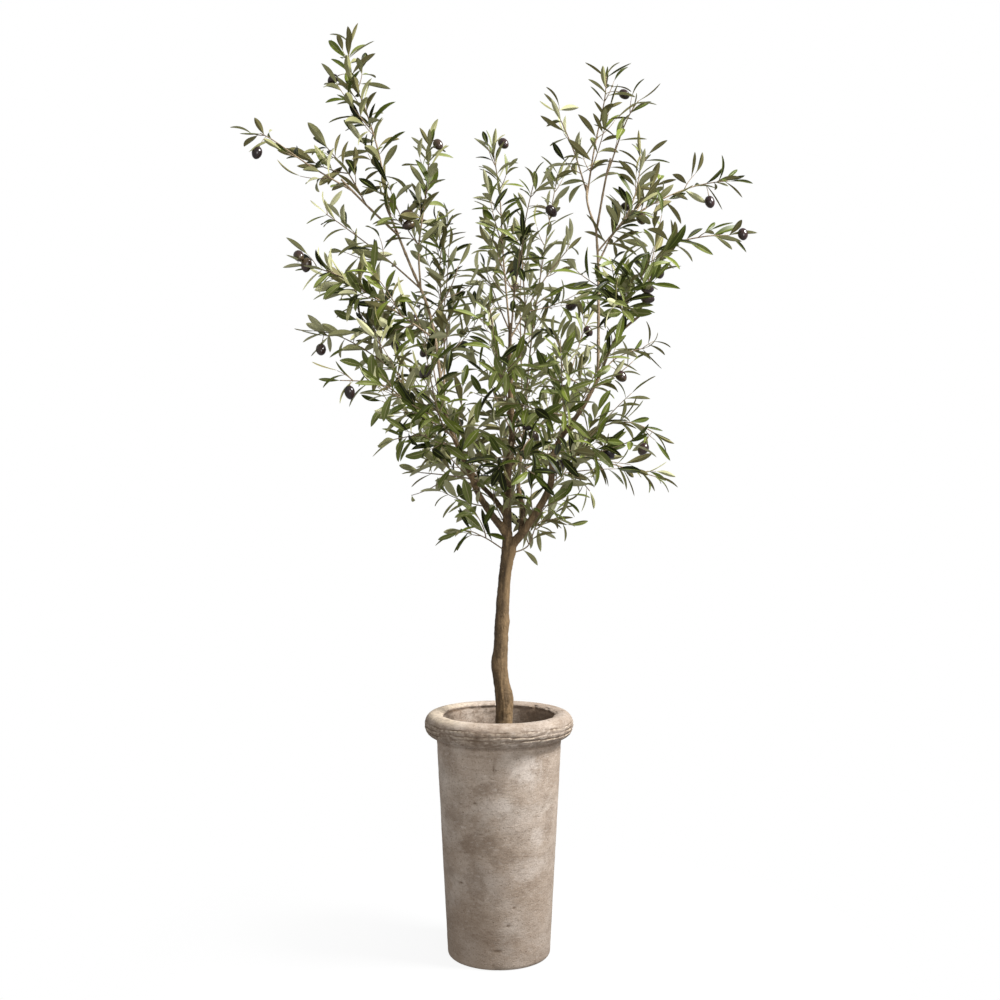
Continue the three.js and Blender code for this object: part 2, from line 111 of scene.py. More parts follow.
# Leafy sprays by the side of the crown they make: carrier, share of its length at the foot, how it grows,
# places on the way. It grows by its half width, its seed, how many branchlets it has besides its short side
# twigs, how leafy it is (below 1 it has lost leaves, above 1 its pairs are closer), and how pale its tints are.
# How pale is partly painted light and shade: paler tints stand in for light on that part of the crown, darker
# ones for shade.
SPRAYS = {
    "left": {
        "top_left": ("stem_left_tall", 0.93, (0.047, 5, 1, 1.6, 0.0),
            (-275, 10, 1825), (-305, 10, 1925), (-343, 0, 2030), (-320, -10, 2129)),
        "far_left_high": ("stem_far_left", 0.8, (0.038, 6, 0, 0.47, 0.3),
            (-420, -60, 1780), (-530, -75, 1850), (-590, -80, 1862)),
        "far_left_branchlet": ("stem_far_left", 0.55, (0.03, 1, 1, 1.02, -0.7),
            (-345, -10, 1780), (-390, 10, 1835), (-430, 20, 1885)),
        "far_left_middle": ("stem_left_tall", 0.55, (0.038, 7, 1, 0.83, 0.9),
            (-245, 20, 1575), (-310, 60, 1630), (-395, 90, 1695), (-455, 110, 1735)),
        "far_left_low": ("stem_left_tall", 0.3, (0.044, 12, 3, 1.55, 1.0),
            (-210, -80, 1440), (-350, -130, 1525), (-470, -155, 1560)),
        "left_edge": ("limb_left_lower", 0.85, (0.042, 8, 0, 0.75, 1.0),
            (-230, -20, 1320), (-380, 50, 1415), (-490, 70, 1430)),
        "left_edge_upper": ("left_edge", 0.45, (0.03, 9, 3, 1.39, -0.1), (-290, 40, 1430), (-350, 60, 1470)),
        "left_low": ("limb_left_lower", 0.75, (0.05, 5, 2, 0.5, 1.0),
            (-180, -100, 1230), (-250, -140, 1285), (-400, -190, 1295)),
        "left_skirt": ("limb_left_lower", 0.6, (0.046, 17, 1, 0.63, 1.0),
            (-150, -150, 1175), (-270, -260, 1155)),
        "left_under": ("limb_left_lower", 0.45, (0.034, 13, 1, 0.55, 0.6),
            (-125, 20, 1090), (-235, 80, 1100)),
        "low_left": ("trunk", 0.965, (0.03, 17, 1, 1.0, 0.9),
            (-35, -30, 950), (-80, -60, 965), (-135, -80, 925)),
        "upper_left": ("stem_left_tall", 0.55, (0.042, 20, 1, 1.48, 0.4),
            (-180, -50, 1600), (-165, -60, 1710), (-150, -50, 1880)),
    },
    "centre": {
        "inner_left": ("limb_left_lower", 0.97, (0.044, 19, 3, 1.61, -0.3),
            (-125, 0, 1395), (-135, 20, 1585), (-105, 40, 1725)),
        "top_centre": ("limb_leader", 0.95, (0.05, 23, 2, 1.48, 0.1),
            (10, -20, 1580), (0, -30, 1735), (-25, -30, 1885)),
        "centre_slim": ("limb_leader", 0.72, (0.036, 2, 0, 0.65, 0.4),
            (60, 40, 1425), (55, 60, 1635), (95, 60, 1830)),
        "top_back_right": ("limb_back", 0.95, (0.042, 10, 0, 1.26, 0.7),
            (75, 150, 1390), (110, 140, 1635), (150, 130, 1865)),
        "inner_right": ("limb_leader", 0.93, (0.038, 23, 1, 0.67, 0.5), (105, 20, 1540), (195, 50, 1655)),
        "core_left": ("stem_left_tall", 0.12, (0.06, 6, 0, 0.57, -0.1), (-120, 20, 1375), (-130, 100, 1520)),
        "core_centre": ("limb_leader", 0.52, (0.056, 3, 1, 0.55, -0.3), (-15, 60, 1290), (-45, 110, 1400)),
        "core_right": ("limb_right", 0.9, (0.06, 8, 0, 1.55, 0.2), (150, 30, 1330), (145, 90, 1460)),
        "core_upper_left": ("stem_left_tall", 0.4, (0.052, 24, 0, 0.47, 0.0),
            (-110, -60, 1505), (-75, -70, 1610)),
        "core_upper": ("limb_leader", 0.96, (0.054, 13, 0, 0.45, 0.2), (-5, 60, 1495), (-45, 110, 1610)),
    },
    "right": {
        "top_right_left": ("stem_top_right_left", 0.75, (0.042, 6, 1, 0.65, 0.0),
            (220, 20, 1845), (245, 25, 1970), (245, 25, 2068)),
        "top_right_twig": ("stem_top_right_left", 0.85, (0.032, 1, 0, 0.55, 0.4),
            (170, 50, 1850), (130, 80, 1945), (95, 90, 1985)),
        "top_right_right": ("stem_top_right_right", 0.75, (0.036, 22, 0, 0.62, -0.1),
            (295, -80, 1900), (350, -90, 1965)),
        "far_right_high": ("stem_right_tall", 0.75, (0.042, 4, 1, 0.72, -0.6),
            (280, 40, 1665), (445, 100, 1765), (600, 120, 1795)),
        "right_upright": ("stem_right_tall", 0.82, (0.034, 22, 1, 1.39, -0.3),
            (295, 0, 1690), (320, 10, 1770), (325, 20, 1880)),
        "far_right_middle": ("stem_right_out", 0.93, (0.038, 9, 1, 0.63, -0.2),
            (355, -210, 1570), (430, -220, 1595), (545, -230, 1595)),
        "right_near": ("stem_right_out", 0.7, (0.052, 3, 4, 1.3, 0.7), (265, -230, 1460), (205, -365, 1510)),
        "right_middle": ("limb_right", 0.96, (0.042, 11, 0, 0.46, 0.1),
            (265, 10, 1355), (325, 30, 1380), (395, 40, 1385)),
        "right_low": ("limb_right", 0.45, (0.044, 5, 2, 0.75, 0.6),
            (170, -70, 1135), (225, -100, 1195), (290, -120, 1205), (390, -140, 1150)),
        "right_low_outer": ("limb_right", 0.55, (0.036, 4, 1, 0.72, 0.1),
            (210, 40, 1130), (300, 80, 1105), (425, 110, 1070)),
        "right_under": ("limb_right", 0.4, (0.03, 2, 1, 0.45, -0.1), (160, -10, 1095), (240, 10, 1015)),
        "low_right": ("trunk", 0.955, (0.03, 4, 2, 0.94, 0.0), (65, 30, 925), (95, 60, 980), (195, 90, 985)),
    },
    "front": {
        "front_left": ("limb_left_lower", 0.72, (0.054, 8, 1, 1.16, 1.0),
            (-125, -200, 1210), (-155, -430, 1390)),
        "front_centre": ("limb_leader", 0.62, (0.054, 3, 2, 0.75, 1.0), (5, -180, 1295), (-25, -430, 1460)),
        "front_right": ("limb_right", 0.72, (0.054, 3, 1, 1.0, 1.0), (140, -180, 1230), (120, -440, 1360)),
        "front_low": ("limb_leader", 0.48, (0.042, 4, 2, 0.63, -0.8),
            (25, -120, 1140), (55, -235, 1105), (95, -340, 1080)),
        "front_high": ("limb_leader", 0.9, (0.05, 4, 1, 0.5, -0.1), (35, -150, 1495), (55, -380, 1595)),
    },
    "back": {
        "back_left": ("limb_left_upper", 0.95, (0.054, 6, 1, 0.72, -0.3),
            (-145, 250, 1275), (-185, 380, 1435), (-245, 470, 1570)),
        "back_centre": ("limb_back", 0.93, (0.054, 6, 0, 0.55, -0.1), (15, 280, 1325), (-35, 490, 1585)),
        "back_right": ("limb_back", 0.85, (0.054, 22, 0, 0.83, 0.4),
            (150, 250, 1275), (205, 380, 1420), (250, 470, 1545)),
        "back_low_left": ("limb_left_upper", 0.7, (0.042, 11, 1, 0.66, 0.1),
            (-120, 250, 1155), (-175, 430, 1185)),
        "back_low_right": ("limb_back", 0.6, (0.044, 7, 2, 1.35, 0.2), (140, 260, 1150), (225, 440, 1180)),
        "back_high": ("limb_back", 0.97, (0.05, 11, 1, 0.45, 0.6),
            (55, 260, 1375), (55, 330, 1580), (75, 380, 1740)),
    },
}

# Olives by spray: the places, across and up, that they hang at. Their depth is that of the stem beside them.
OLIVES = {
    "far_left_high": [(-537, 1805)], "top_left": [(-378, 1990)],
    "upper_left": [(-136, 1828), (-204, 1670), (-202, 1648)], "far_left_low": [(-433, 1564), (-417, 1545)],
    "left_edge": [(-412, 1380)], "left_edge_upper": [(-232, 1384)], "left_low": [(-321, 1268)],
    "centre_slim": [(35, 1563), (180, 1690)], "top_centre": [(10, 1836)], "top_right_left": [(287, 1962)],
    "far_right_high": [(496, 1732), (330, 1684), (296, 1711)], "far_right_middle": [(513, 1597), (340, 1521)],
    "core_right": [(170, 1487)], "right_near": [(312, 1483), (314, 1465)], "right_middle": [(277, 1314)],
    "front_low": [(74, 1209), (79, 1179)], "right_low": [(250, 1133), (314, 1147), (136, 1111)],
    "back_left": [(-190, 1400), (-220, 1490)], "back_centre": [(20, 1380)],
    "back_right": [(160, 1300), (230, 1460)], "back_high": [(40, 1560)], "front_left": [(-150, 1300)],
    "back_low_left": [(-150, 1130)],
}

# The share of its length up to which a spray is bare, where that isn't the usual.
BARE_FOOT = {"top_left": 0.14, "upper_left": 0.18, "far_left_middle": 0.25, "front_low": 0.3,
             "front_high": 0.3}
BARE_ON_STEM = 0.04
BARE_ON_LIMB = 0.14
# Leafy shoots straight from the limbs: limb, shares between which they grow, gap, size, seed, how pale (partly
# painted light and shade, as for the sprays).
SHOOTS = [
    ("limb_leader", 0.08, 0.3, 0.024, 0.65, 1, 0.4), ("limb_leader", 0.3, 0.8, 0.059, 0.85, 8, -0.4),
    ("limb_right", 0.14, 0.34, 0.021, 0.62, 20, -0.1), ("limb_right", 0.34, 1.0, 0.066, 1.0, 6, 0.8),
    ("limb_left_lower", 0.12, 0.36, 0.025, 0.6, 15, 0.3), ("limb_left_lower", 0.36, 1.0, 0.055, 0.9, 3, 0.0),
    ("limb_left_upper", 0.3, 1.0, 0.052, 0.8, 17, -1.4), ("limb_back", 0.4, 1.0, 0.058, 1.0, 9, -1.5)]
GOLDEN_TURN = 2.4  # radians round the stem from each branchlet to the next

LEAF_LENGTH = (0.058, 0.086)
LEAF_THICKNESS = 0.0008
LEAF_FOLD = 0.34  # how steeply each half rises from the midrib
LEAF_EDGE_ANGLE = 0.26  # above this angle between faces an edge is sharp: the leaf's rim and midrib
NODE_GAP = 0.027  # between leaf pairs on a stem
TWIG_NODE_GAP = 0.024
SPRAY_FOOT_RADIUS = 0.0024
SPRAY_TIP_RADIUS = 0.0009
OLIVE_LENGTH = 0.031
OLIVE_WIDTH = 0.023

# ---------- routes ----------


class Route:
    """A smooth curve through places, measured along its length: the centripetal spline of the CAD solids."""

    def __init__(self, places):
        p = np.array(places, float)
        p = np.vstack([2 * p[0] - p[1], p, 2 * p[-1] - p[-2]])
        gap = np.sqrt(np.linalg.norm(np.diff(p, axis=0), axis=1))[:, None]
        points = [p[1]]
        t = np.linspace(0, 1, 33)[1:, None]
        for i in range(1, len(p) - 2):
            a, b, c, d = p[i - 1:i + 3]
            g0, g1, g2 = gap[i - 1], gap[i], gap[i + 1]
            leaving = ((b - a) / g0 - (c - a) / (g0 + g1) + (c - b) / g1) * g1
            arriving = ((c - b) / g1 - (d - b) / (g1 + g2) + (d - c) / g2) * g1
            points.extend(b + leaving * t + (3 * (c - b) - 2 * leaving - arriving) * t ** 2
                          + (2 * (b - c) + leaving + arriving) * t ** 3)
        self.points = np.array(points)
        self.measure = np.concatenate([[0], np.cumsum(np.linalg.norm(np.diff(self.points, axis=0), axis=1))])
        self.length = self.measure[-1]

    def at(self, share):
        along = np.asarray(share, float) * self.length
        return np.stack([np.interp(along, self.measure, self.points[:, i]) for i in range(3)], -1)

    def heading(self, share):
        reach = 0.004 / self.length
        return unit(self.at(np.minimum(share + reach, 1)) - self.at(np.maximum(share - reach, 0)))

    def pose(self, share):
        return self.at(share), self.heading(share)

    def nearest(self, across, up):
        """The place at which the route passes nearest to another, as seen from the front."""
        far = np.hypot(self.points[:, 0] - across, self.points[:, 2] - up)
        return self.at(self.measure[np.argmin(far)] / self.length)


def unit(v):
    return v / np.maximum(np.linalg.norm(v, axis=-1, keepdims=True), 1e-12)


def around(heading, angle):
    """A unit vector square to heading, turned about it by angle."""
    side = unit(np.cross(heading, (0.31, 0.22, 0.93) if abs(heading[2]) < 0.8 else (0.9, 0.4, 0.1)))
    return side * math.cos(angle) + np.cross(heading, side) * math.sin(angle)


routes = {"trunk": Route(np.array(TRUNK_AXIS) / PER_METRE)}
for table in (LIMBS, STEMS, *SPRAYS.values()):
    for name, (carrier, share, _, *places) in table.items():
        routes[name] = Route([routes[carrier].at(share), *np.array(places) / PER_METRE])

# ---------- meshes ----------


def put(name, data):
    """A new object in the scene."""
    made = bpy.data.objects.new(name, data)
    bpy.context.scene.collection.objects.link(made)
    return made


def circle(sides):
    """Angles all the way round."""
    return np.linspace(0, 2 * math.pi, sides, endpoint=False)


def about_axis(radius, turn, height):
    """Points at these distances and angles round the upright axis, at these heights."""
    return np.stack(np.broadcast_arrays(radius * np.cos(turn), radius * np.sin(turn), height), -1)


def ring(place, heading, side, radius, turn):
    """Points round a place, square to its heading. The angle is 0 towards side."""
    return place + radius * (np.cos(turn) * side + np.sin(turn) * np.cross(heading, side))


def ring_faces(rings, sides):
    """Quads between rings of points, each ring with as many sides."""
    r, s = np.meshgrid(np.arange(rings - 1), np.arange(sides), indexing="ij")
    a, b = r * sides + s, r * sides + (s + 1) % sides
    return np.stack([a, b, b + sides, a + sides], -1).reshape(-1, 4)


class Batch:
    """Gathers many small shapes into one mesh. Faces of one shape all have as many corners."""

    def __init__(self):
        self.points, self.faces, self.slots, self.count = [], [], [], 0

    def add(self, points, faces, slots=0):
        self.points.append(points)
        self.faces.append(np.asarray(faces) + self.count)
        self.slots.append(np.broadcast_to(slots, len(faces)))
        self.count += len(points)

    def add_rings(self, rings, order=1, ends=2):
        """Rings of points with quads between them, and one face over the first ring or over each end."""
        count, sides = rings.shape[:2]
        self.add(rings.reshape(-1, 3), ring_faces(count, sides)[:, ::order])
        caps = np.array([np.arange(sides)[::-1], np.arange(sides) + (count - 1) * sides])
        self.add(np.zeros((0, 3)), caps[:ends, ::order] - count * sides)

    def build(self, name, materials):
        mesh = bpy.data.meshes.new(name)
        corners = np.concatenate([f.ravel() for f in self.faces])
        sizes = np.concatenate([np.full(len(f), f.shape[1]) for f in self.faces])
        mesh.vertices.add(self.count)
        mesh.vertices.foreach_set("co", np.concatenate(self.points).astype(np.float32).ravel())
        mesh.loops.add(len(corners))
        mesh.loops.foreach_set("vertex_index", corners.astype(np.int32))
        mesh.polygons.add(len(sizes))
        mesh.polygons.foreach_set("loop_start", (np.cumsum(sizes) - sizes).astype(np.int32))
        for material in materials:
            mesh.materials.append(material)
        mesh.polygons.foreach_set("material_index", np.concatenate(self.slots).astype(np.int32))
        mesh.update(calc_edges=True)
        mesh.shade_smooth()
        return put(name, mesh)


def add_tube(batch, points, radii, sides):
    """A closed tube along points, its rings kept from twisting."""
    headings = unit(np.gradient(points, axis=0))
    side = around(headings[0], 0.0)
    rings = []
    for place, heading, radius in zip(points, headings, radii):
        side = unit(side - heading * (side @ heading))
        rings.append(ring(place, heading, side, radius, circle(sides)[:, None]))
    batch.add_rings(np.array(rings))


def noise_at(points, scale, depth, offset):
    """Fractal noise, about -1 to 1, at each point."""
    shift = Vector((offset, 2.1 * offset, 3.7 * offset))
    scale = np.broadcast_to(scale, 3)
    return np.array([noise.fractal(Vector(p * scale) + shift, 1.0, 2.0, depth) for p in points])


def smoothstep(low, high, x):
    t = np.clip((x - low) / (high - low), 0, 1)
    return t * t * (3 - 2 * t)


def bell(x, middle, half_width):
    return np.exp(-(((x - middle) / half_width) ** 2))


# ---------- materials ----------


def linear(colour):
    """An sRGB colour, 0 to 255, as linear light, opaque."""
    c = np.array(colour) / 255
    return (*(float(x) for x in np.where(c <= 0.04045, c / 12.92, ((c + 0.055) / 1.055) ** 2.4)), 1)


class Nodes:
    """The node tree of a material or world, with a line for each kind of node."""

    def __init__(self, owner):
        owner.use_nodes = True
        self.tree = owner.node_tree

    def feed(self, socket, value):
        if isinstance(value, bpy.types.NodeSocket):
            self.tree.links.new(value, socket)
        else:
            socket.default_value = value

    def feed_all(self, node, sockets):
        for socket, value in sockets.items():
            self.feed(node.inputs[socket], value)

    def add(self, kind, sockets, **settings):
        node = self.tree.nodes.new("ShaderNode" + kind)
        for key, value in settings.items():
            setattr(node, key, value)
        self.feed_all(node, sockets)
        return node

    def place(self, stretch):
        where = self.add("TexCoord", {}).outputs["Object"]
        return self.add("Mapping", {"Vector": where, "Scale": stretch}).outputs[0]

    def height(self):
        return self.add("SeparateXYZ", {0: self.place((1, 1, 1))}).outputs["Z"]

    def noise(self, scale, detail, roughness, distortion=0.0, stretch=(1, 1, 1), output="Fac"):
        sockets = {"Vector": self.place(stretch), "Scale": scale, "Detail": detail, "Roughness": roughness,
                   "Distortion": distortion}
        return self.add("TexNoise", sockets).outputs[output]

    def cracks(self, scale):
        """Distance from fine wandering lines, which show in some places only."""
        wander = self.noise(30.0, 4.0, 0.5, output="Color")
        sockets = {0: wander, 1: (0.05, 0.05, 0.05), 2: self.place((1, 1, 1.4))}
        sway = self.add("VectorMath", sockets, operation="MULTIPLY_ADD").outputs[0]
        sockets = {"Vector": sway, "Scale": scale}
        lines = self.add("TexVoronoi", sockets, feature="DISTANCE_TO_EDGE").outputs["Distance"]
        hidden = self.range(self.noise(9.0, 3.0, 0.55), 0.58, 0.68, 0.0, 0.06)
        return self.add("Math", {0: lines, 1: hidden}, operation="ADD").outputs[0]

    def ramp(self, value, *stops):
        node = self.add("ValToRGB", {0: value})
        elements = node.color_ramp.elements
        while len(elements) < len(stops):
            elements.new(0.5)
        for element, (position, colour) in zip(elements, stops):
            element.position = position
            element.color = linear(colour)
        return node.outputs[0]

    def range(self, value, low, high, to_high, to_low=0.0):
        """From to_low where value is low, to to_high where it is high."""
        return self.add("MapRange", dict(enumerate((value, low, high, to_low, to_high)))).outputs[0]

    def attribute(self, name):
        return self.add("Attribute", {}, attribute_name=name).outputs["Fac"]

    def paint(self, base, *layers):
        """Layers over a base colour, each with how much of it shows and its colour."""
        for share, colour in layers:
            sockets = {0: share, 6: base, 7: linear(colour)}
            base = self.add("Mix", sockets, data_type="RGBA").outputs[2]
        return base

    def relief(self, *layers):
        """Bumps on top of each other, each with its height, distance and strength."""
        normal = None
        for height, distance, strength in layers:
            node = self.add("Bump", {"Height": height, "Distance": distance, "Strength": strength})
            if normal:
                self.feed(node.inputs["Normal"], normal)
            normal = node.outputs[0]
        return normal


class Surface(Nodes):
    """A material round one Principled shader."""

    def __init__(self, name, roughness, **values):
        self.material = bpy.data.materials.new(name)
        super().__init__(self.material)
        self.shader = self.tree.nodes["Principled BSDF"]
        self.set(Roughness=roughness, **values)

    def set(self, **values):
        """Feeds the shader's inputs. A name has _ for each space."""
        self.feed_all(self.shader, {key.replace("_", " "): value for key, value in values.items()})
        return self.material


def clay_material():
    n = Surface("weathered_clay", 0.93)
    blotches = n.noise(7.5, 4.0, 0.5, 0.6, (1, 1, 1.3))
    smudges = n.noise(15.0, 6.0, 0.62, 0.3, (1, 1, 1.8))
    wash = n.noise(10.0, 7.0, 0.62, 0.2)
    mottle = n.noise(80.0, 5.0, 0.75, 0.3, (1, 1, 2.4))
    grain = n.noise(280.0, 3.0, 0.75)
    pits = n.noise(110.0, 4.0, 0.7, 1.5, (1, 1, 2.6))
    return n.set(Base_Color=n.paint(
        n.ramp(blotches, (0.32, (170, 152, 135)), (0.5, (186, 169, 153)), (0.66, (200, 186, 172))),
        (n.range(smudges, 0.46, 0.7, 0.48), (122, 103, 86)),
        (n.range(wash, 0.5, 0.72, 0.52), (218, 207, 197)),
        (n.attribute("pale_patch"), (232, 221, 211)),
        (n.attribute("dull_patch"), (118, 97, 78)),
        (n.range(mottle, 0.53, 0.72, 0.56), (120, 100, 82)),
        (n.range(mottle, 0.46, 0.28, 0.55), (226, 215, 204)),
        (n.range(grain, 0.54, 0.72, 0.62), (98, 80, 63)),
        (n.range(pits, 0.61, 0.67, 0.85), (84, 67, 51)),
        (n.range(n.cracks(16.0), 0.018, 0.004, 0.55), (92, 74, 57)),
        (n.range(n.height(), 0.46, 0.0, 0.46), (116, 96, 78)),
        # dirt, and painted shade in the roll's grooves, under the lip, on the wall inside the mouth and in a
        # line under the roll
        (n.attribute("dirt_and_painted_shade"), (96, 76, 56)),
        # wear to the pale clay, and painted highlight on the ridges under the roll's grooves
        (n.attribute("wear_and_highlight"), (222, 206, 182)),
    ), Normal=n.relief((pits, 0.0012, -0.6), (mottle, 0.0022, 0.6), (grain, 0.001, 0.7)))


def fill_material():
    n = Surface("potting_fill", 1.0)
    crumbs = n.noise(160.0, 5.0, 0.7)
    return n.set(Base_Color=n.ramp(crumbs, (0.35, (38, 31, 25)), (0.55, (70, 57, 45)), (0.75, (104, 88, 70))),
                 Normal=n.relief((crumbs, 0.002, 0.8)))


def bark_material(name, dark, middle, pale, grain_scale):
    n = Surface(name, 0.82)
    streaks = n.noise(grain_scale, 6.0, 0.62, 0.5, (1, 1, 0.16))
    patches = n.noise(grain_scale * 0.22, 3.0, 0.5, 0.4)
    scales = n.noise(grain_scale * 2, 5.0, 0.7, 1.2, (1, 1, 0.7))
    fine = n.noise(grain_scale * 5, 3.0, 0.7, 0.0, (1, 1, 0.3))
    return n.set(Base_Color=n.paint(
        n.ramp(streaks, (0.24, dark), (0.5, middle), (0.78, pale)),
        (n.range(patches, 0.42, 0.75, 0.4), pale),
        (n.range(scales, 0.54, 0.7, 0.5), pale),
        (n.range(scales, 0.46, 0.32, 0.5), dark),
        (n.range(fine, 0.56, 0.76, 0.6), dark),
        # painted light and shade: the trunk's side towards the key lamp is painted paler, its far side darker
        (n.attribute("painted_lit_side"), pale),
        (n.attribute("painted_shaded_side"), dark),
    ), Normal=n.relief((streaks, 0.004, 0.8), (scales, 0.003, 0.8), (fine, 0.0014, 0.8)))


def olive_material():
    n = Surface("olive_skin", 0.22, Coat_Weight=0.35, Coat_Roughness=0.15)
    ripeness = n.noise(14.0, 2.0, 0.5)
    freckles = n.noise(700.0, 2.0, 0.6)
    skin = n.ramp(ripeness, (0.35, (34, 22, 24)), (0.55, (52, 34, 32)), (0.7, (84, 70, 44)))
    return n.set(Base_Color=n.paint(skin, (n.range(freckles, 0.66, 0.74, 0.5), (128, 108, 84))))


CLAY = clay_material()
FILL = fill_material()
BARK = bark_material("olive_bark", (44, 31, 19), (92, 73, 48), (172, 142, 103), 75.0)
STEM = bark_material("stem_bark", (96, 79, 58), (144, 122, 95), (186, 167, 138), 150.0)
OLIVE = olive_material()
LEAF_TINTS = {
    "leaf_deep": (34, 38, 8),
    "leaf_olive": (65, 74, 22),
    "leaf_mid": (104, 112, 56),
    "leaf_fresh": (102, 113, 44),
    "under_dull": (121, 115, 75),
    "under_sage": (152, 151, 106),
    "under_grey": (173, 172, 133),
}
LEAF_MATERIALS = [Surface(name, 0.4 if name.startswith("leaf") else 0.6, Base_Color=linear(colour),
                          Specular_IOR_Level=0.15).material for name, colour in LEAF_TINTS.items()]

# ---------- pot and fill ----------

POT_SIDES = 288
AXIS_GAP = 0.02  # radius of the flat faces that close the pot's mesh at its axis
MOUTH_FOOT = 0.43  # the wall inside is finely made down to this height
LIP_AND_WALL_RINGS = 34  # the profile's last rings, from just outside the lip's inner edge
# Grooves round the face of the roll: height, depth, half width, how much they wander up and down.
ROLL_GROOVES = [(0.533, 0.0007, 0.0012, 0.0026), (0.5225, 0.0016, 0.0015, 0.0022),
                (0.5135, 0.0014, 0.0015, 0.002)]
# Chips and scars on the body: side they face in radians, height, half width, half height.
SCARS = [(4.66, 0.47, 0.003, 0.0022), (4.63, 0.449, 0.0022, 0.009), (4.86, 0.101, 0.007, 0.0017),
         (4.98, 0.141, 0.004, 0.0024), (4.38, 0.305, 0.0085, 0.0013), (4.98, 0.303, 0.006, 0.0011),
         (3.97, 0.188, 0.0085, 0.0015), (4.69, 0.004, 0.006, 0.0045), (4.6, 0.012, 0.003, 0.003),
         (4.7, 0.045, 0.011, 0.0022), (4.32, 0.372, 0.0055, 0.0016), (4.93, 0.243, 0.0045, 0.0016),
         (1.2, 0.21, 0.006, 0.003), (2.4, 0.39, 0.005, 0.0022), (0.3, 0.12, 0.006, 0.0026)]
# Broad soft patches on the body: the same sizes, and how pale they are, or how dull if below zero.
PATCHES = [
    (5.16, 0.444, 0.034, 0.022, 0.5), (5.41, 0.292, 0.02, 0.018, 0.45), (5.25, 0.224, 0.045, 0.025, 0.3),
    (4.64, 0.365, 0.032, 0.02, 0.3), (3.77, 0.152, 0.022, 0.022, 0.3), (4.35, 0.282, 0.042, 0.022, -0.42),
    (4.29, 0.194, 0.02, 0.05, -0.4), (4.56, 0.402, 0.032, 0.013, -0.4), (4.54, 0.073, 0.06, 0.015, -0.35),
    (3.81, 0.33, 0.026, 0.026, -0.3), (5.71, 0.314, 0.017, 0.032, -0.35), (3.78, 0.455, 0.032, 0.018, -0.35),
    (0.4, 0.38, 0.045, 0.03, 0.4), (1.6, 0.26, 0.04, 0.04, -0.4), (2.3, 0.15, 0.05, 0.026, 0.35),
    (2.9, 0.35, 0.03, 0.04, -0.35), (0.9, 0.11, 0.045, 0.03, -0.3), (1.9, 0.43, 0.045, 0.018, 0.35)]


def pot_profile():
    """Points up the outside, round the roll, down the inside and across the floor."""
    centre = POT_BASE_RADIUS - POT_ARRIS
    lean = math.atan2(POT_NECK_RADIUS - POT_BASE_RADIUS, POT_NECK_HEIGHT - POT_ARRIS)
    points = [(r, 0.0) for r in np.linspace(AXIS_GAP, centre, 5)]
    points += [(centre + POT_ARRIS * math.cos(a), POT_ARRIS + POT_ARRIS * math.sin(a))
               for a in np.linspace(-math.pi / 2, -lean, 9)[1:]]
    rise = np.linspace(POT_ARRIS, POT_NECK_HEIGHT - 0.004, 120)[1:]
    share = (rise - POT_ARRIS) / (POT_NECK_HEIGHT - POT_ARRIS)
    points += list(zip(POT_BASE_RADIUS + (POT_NECK_RADIUS - POT_BASE_RADIUS) * share, rise))
    points += [(POT_NECK_RADIUS - COVE_DEPTH * smoothstep(0, 1, t),
                POT_NECK_HEIGHT + (COVE_BOTTOM - POT_NECK_HEIGHT) * t) for t in np.linspace(0, 1, 5)]
    points.append((POT_NECK_RADIUS - COVE_DEPTH + 0.0004, COVE_TOP - 0.0035))
    middle = (POT_HEIGHT + ROLL_BOTTOM) / 2
    points += [(ROLL_RADIUS - ROLL_HALF_WIDTH + ROLL_HALF_WIDTH * math.cos(a),
                middle + (POT_HEIGHT - middle) * math.sin(a)) for a in np.linspace(ROLL_START, ROLL_END, 62)]
    edge_radius, edge_height = points[-1]
    points += [(edge_radius + (MOUTH_RADIUS - edge_radius) * t,
                edge_height + (LIP_HEIGHT - edge_height) * t ** 1.6) for t in np.linspace(0, 1, 9)[1:]]
    points += [(MOUTH_RADIUS - 0.0008 - (MOUTH_RADIUS - WALL_TOP_RADIUS) * smoothstep(0, 0.5, t),
                LIP_HEIGHT - (LIP_HEIGHT - MOUTH_FOOT) * t ** 1.3) for t in np.linspace(0, 1, 30)[1:]]
    return np.array([*points, (WALL_FOOT_RADIUS, POT_FLOOR), (AXIS_GAP, POT_FLOOR)])


